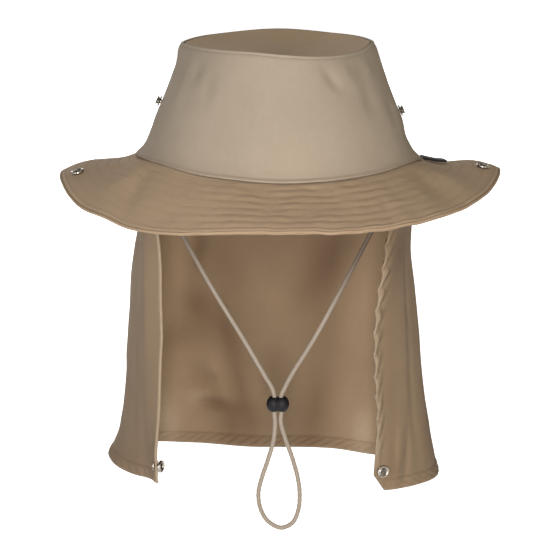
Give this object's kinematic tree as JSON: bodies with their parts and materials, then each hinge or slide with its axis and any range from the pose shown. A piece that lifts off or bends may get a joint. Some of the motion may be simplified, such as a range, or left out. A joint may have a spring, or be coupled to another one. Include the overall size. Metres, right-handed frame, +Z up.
{
  "type": "flap sun hat",
  "caption": "Bucket sun hat with a sloping stitched brim, a long neck flap open at the front, press snaps and a braided chin cord with a bead lock.",
  "frame": {"origin": "centre of the head opening, at the seam between crown and brim", "axes": "+Z up along the head's axis, -Y towards the hat's front, +X towards the right in the picture"},
  "size_m": [0.2964, 0.303, 0.3423],
  "materials": {
    "crown_twill": "matt khaki cotton twill with fine diagonal weave",
    "brim_twill": "matt khaki cotton twill, two layers with rows of stitching",
    "flap_twill": "matt khaki cotton twill, one layer with turned and stitched hems",
    "cord_braid": "round braided cord, pale grey beige",
    "lock_plastic": "black moulded plastic, slight sheen",
    "snap_nickel": "bright nickel plated press snap",
    "label_cloth": "plain black woven tab, bare"
  },
  "bodies": {
    "root": {"crown_front": "crown_twill", "crown_back": "crown_twill", "crown_tip": "crown_twill", "brim": "brim_twill", "neck_flap": "flap_twill", "crown_stud_left": "snap_nickel", "crown_stud_right": "snap_nickel", "brim_socket_left": "snap_nickel", "brim_socket_right": "snap_nickel", "flap_snap_left": "snap_nickel", "flap_snap_right": "snap_nickel", "label_tab": "label_cloth", "chin_cord": "cord_braid", "cord_lock": "lock_plastic"}
  },
  "joints": []
}
